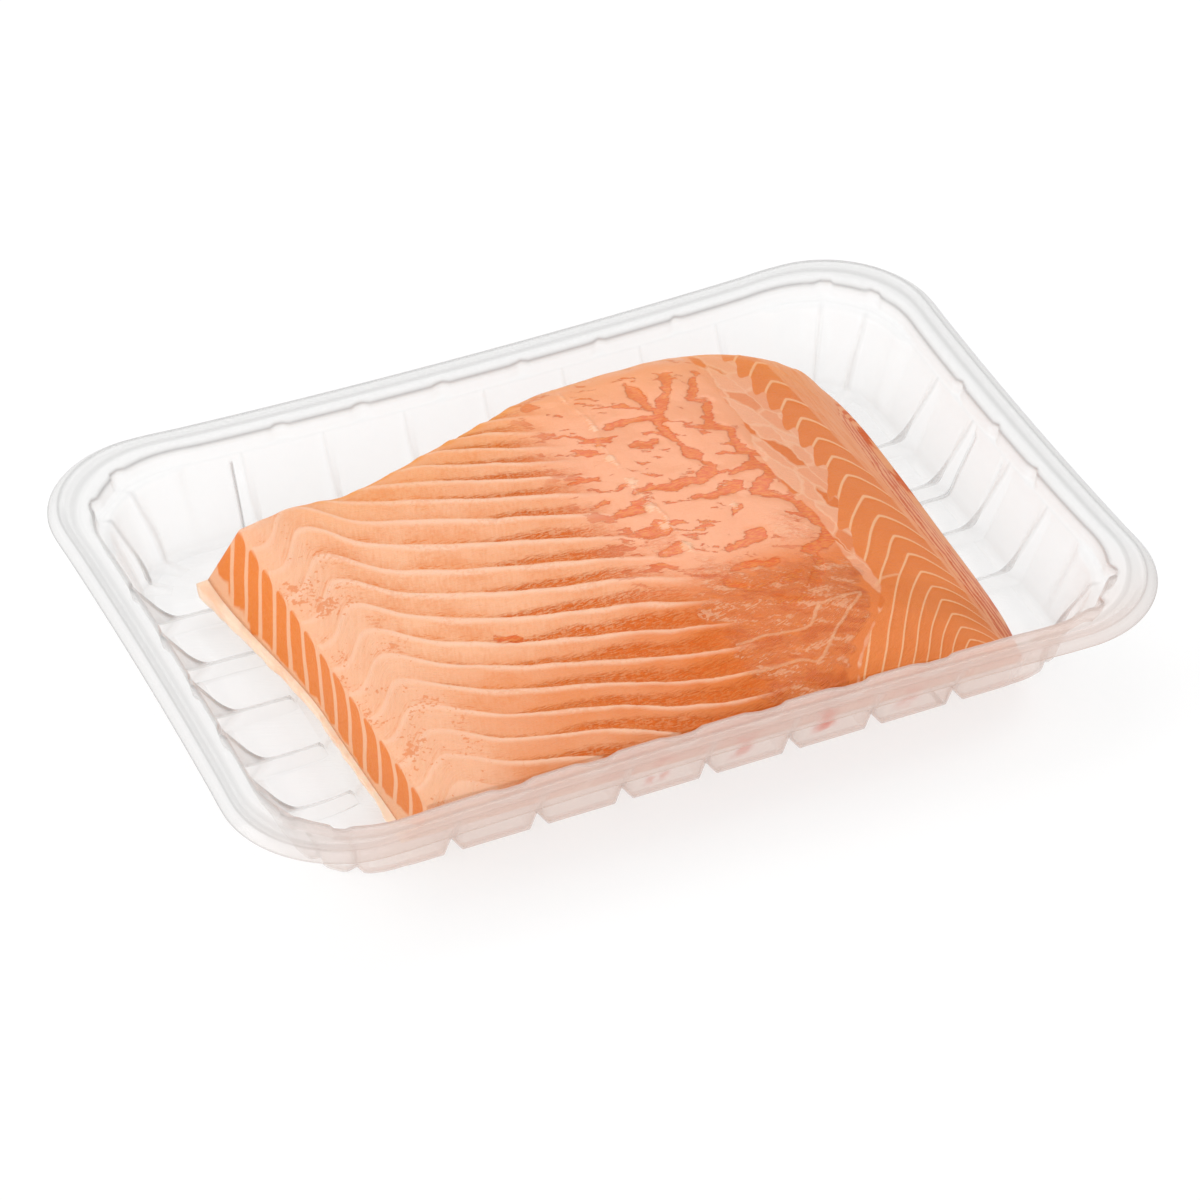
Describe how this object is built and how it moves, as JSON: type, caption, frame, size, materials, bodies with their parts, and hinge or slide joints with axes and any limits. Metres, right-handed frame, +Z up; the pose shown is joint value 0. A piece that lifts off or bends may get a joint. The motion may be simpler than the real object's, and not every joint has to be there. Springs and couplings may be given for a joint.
{
  "type": "tray pack of salmon fillet",
  "caption": "Open clear tray with a flat rim and ribbed walls, holding one thick flaky piece of salmon fillet on its pale layer of fat and skin.",
  "frame": {"origin": "under the middle of the tray, on the surface that its feet stand on", "axes": "+X runs along the tray's long side towards the fillet's thin side with the chevron lines, +Y across it to the back, +Z up"},
  "size_m": [0.2662, 0.1902, 0.0329],
  "materials": {
    "tray": "clear glossy plastic sheet, nearly colourless",
    "flesh": "moist salmon flesh, orange with pale raised lines of fat",
    "fat_layer": "moist cream fat and skin"
  },
  "bodies": {
    "root": {"tray": "tray", "flesh": "flesh", "fat_layer": "fat_layer"}
  },
  "joints": []
}
